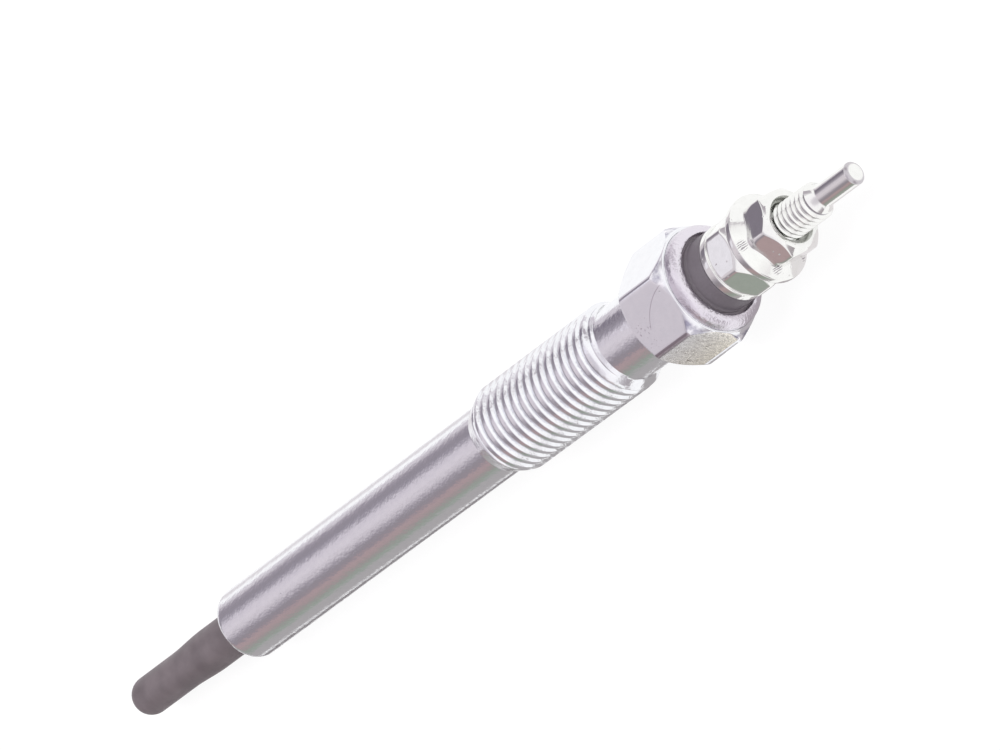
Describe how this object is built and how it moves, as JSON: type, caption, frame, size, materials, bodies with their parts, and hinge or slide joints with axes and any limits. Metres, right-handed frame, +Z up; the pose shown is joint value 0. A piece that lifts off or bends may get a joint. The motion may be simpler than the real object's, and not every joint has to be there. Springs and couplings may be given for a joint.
{
  "type": "diesel glow plug",
  "caption": "Sheathed-element diesel glow plug: dark heater tube, plain shank, threaded body, hexagon with crimped collar, and a stud with insulator and nuts.",
  "frame": {"origin": "on the surface the plug lies on, under the middle of its length", "axes": "+X along the plug from the heater tip to the terminal, +Z up, with a flat of the hexagon facing down"},
  "size_m": [0.128, 0.0134, 0.012],
  "materials": {
    "zinc_plated_body": "bright zinc plate with a pale iridescent passivation, drawn along its length",
    "zinc_plated_nuts": "bright zinc plate with a pale iridescent passivation",
    "zinc_plated_rod": "bright zinc plate on a rolled thread",
    "nickel_alloy_sheath": "swaged nickel alloy, dull and dark from annealing",
    "moulded_insulator": "moulded, matt",
    "seal_rubber": "moulded rubber",
    "pressed_magnesia": "compacted powder",
    "coil_wire": "drawn wire"
  },
  "bodies": {
    "root": {"housing": "zinc_plated_body", "heater_sheath": "nickel_alloy_sheath", "heating_coil": "coil_wire", "control_coil": "coil_wire", "magnesia_filling": "pressed_magnesia", "sheath_seal": "seal_rubber", "terminal_rod": "zinc_plated_rod", "body_seal_ring": "seal_rubber", "insulating_bush": "moulded_insulator", "clamp_nut": "zinc_plated_nuts", "terminal_nut": "zinc_plated_nuts"}
  },
  "joints": []
}
